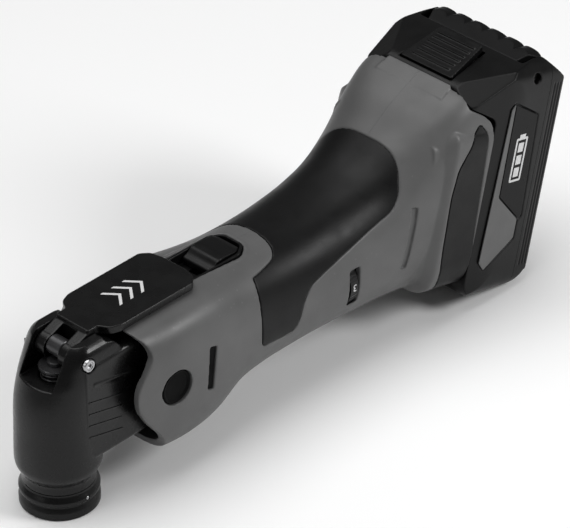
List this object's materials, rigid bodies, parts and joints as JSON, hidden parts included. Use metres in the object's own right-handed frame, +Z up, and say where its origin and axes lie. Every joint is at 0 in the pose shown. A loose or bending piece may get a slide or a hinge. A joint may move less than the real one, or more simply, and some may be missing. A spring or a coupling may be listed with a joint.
{
  "type": "cordless oscillating multi-tool",
  "caption": "Cordless oscillating multi-tool with a quick-release clamp lever, rubber grip, slide switch, speed dial and a slide-on battery.",
  "frame": {"origin": "on the spindle axis, at the flat end of the tool clamp inside the holder, level with the holder's rim", "axes": "+Z up along the spindle axis, +Y from the head along the handle to the battery, +X towards the side with the speed dial"},
  "size_m": [0.0748, 0.3056, 0.1195],
  "materials": {
    "grey": "moulded glass-filled plastic, fine texture",
    "rubber": "soft overmoulded grip rubber",
    "black": "black moulded plastic, fine texture",
    "coated": "black satin coating over cast metal",
    "steel": "ground steel",
    "copper": "copper windings in a laminated core",
    "board": "circuit board with parts",
    "wrap": "cell sleeve"
  },
  "bodies": {
    "tool": {"housing_left": "grey", "housing_right": "grey", "rubber_grip": "rubber", "side_bumper_left": "rubber", "side_bumper_right": "rubber", "housing_screw_1": "steel", "housing_screw_2": "steel", "housing_screw_3": "steel", "housing_screw_4": "steel", "socket_plug_left": "black", "socket_plug_right": "black", "gear_head": "coated", "lever_pin": "steel", "lever_pin_screw": "steel", "spindle_bearing_lower": "steel", "spindle_bearing_upper": "steel", "shaft_bearing_front": "steel", "shaft_bearing_rear": "steel", "motor_stator": "copper", "motor_cap": "black", "switch_tray": "black", "microswitch": "black", "dial_base": "black", "control_board": "board", "battery_mount": "black", "terminal_block": "black"},
    "lever": {"clamp_lever": "coated", "lever_cam": "steel"},
    "spindle": {"spindle": "steel", "tool_holder": "coated", "fork_arm": "steel"},
    "clamp": {"clamp_plunger": "steel", "clamp_spring": "steel"},
    "motor": {"motor_shaft": "steel", "eccentric_bearing": "steel", "motor_rotor": "steel", "motor_fan": "black"},
    "switch": {"slide_switch": "black"},
    "dial": {"speed_dial": "black"},
    "battery": {"battery_case": "black", "battery_cover": "black", "battery_stripe_left": "grey", "battery_stripe_right": "grey", "battery_panel_left": "black", "battery_panel_right": "black", "battery_bumper": "rubber", "battery_board": "board", "battery_cell_1": "wrap", "battery_cell_2": "wrap", "battery_cell_3": "wrap", "battery_cell_4": "wrap", "battery_cell_5": "wrap", "battery_cell_6": "wrap", "battery_cell_7": "wrap", "battery_cell_8": "wrap", "battery_cell_9": "wrap", "battery_cell_10": "wrap"},
    "latch": {"battery_latch": "black", "latch_spring": "steel"}
  },
  "joints": [
    {"name": "lever_hinge", "type": "hinge", "parent": "tool", "child": "lever", "pos_m": [0, 0.0029, 0.0769], "axis": [1, 0, 0], "range_deg": [0, 120]},
    {"name": "spindle_swing", "type": "hinge", "parent": "tool", "child": "spindle", "pos_m": [0, 0, 0.04], "axis": [0, 0, 1], "range_deg": [-1.7, 1.7]},
    {"name": "clamp_drop", "type": "slide", "parent": "spindle", "child": "clamp", "axis": [0, 0, -1], "range_m": [0, 0.002], "deforming": ["clamp_spring"]},
    {"name": "motor_spin", "type": "hinge", "parent": "tool", "child": "motor", "pos_m": [0, 0.09, 0.05], "axis": [0, 1, 0], "continuous": true},
    {"name": "switch_slide", "type": "slide", "parent": "tool", "child": "switch", "axis": [0, -1, 0], "range_m": [0, 0.006]},
    {"name": "dial_turn", "type": "hinge", "parent": "tool", "child": "dial", "pos_m": [0.0144, 0.1554, 0.046], "axis": [0, 1, 0], "range_deg": [-150, 50]},
    {"name": "battery_slide", "type": "slide", "parent": "tool", "child": "battery", "axis": [0, 0.2334, 0.9724], "range_m": [0, 0.075]},
    {"name": "latch_press", "type": "slide", "parent": "battery", "child": "latch", "axis": [0, 0.1925, -0.9813], "range_m": [0, 0.0025], "stiffness_N_per_m": 1500, "deforming": ["latch_spring"]}
  ],
  "couplings": [
    {"joint": "clamp_drop", "follows": "lever_hinge", "m_per_rad": 0.00090718}
  ]
}
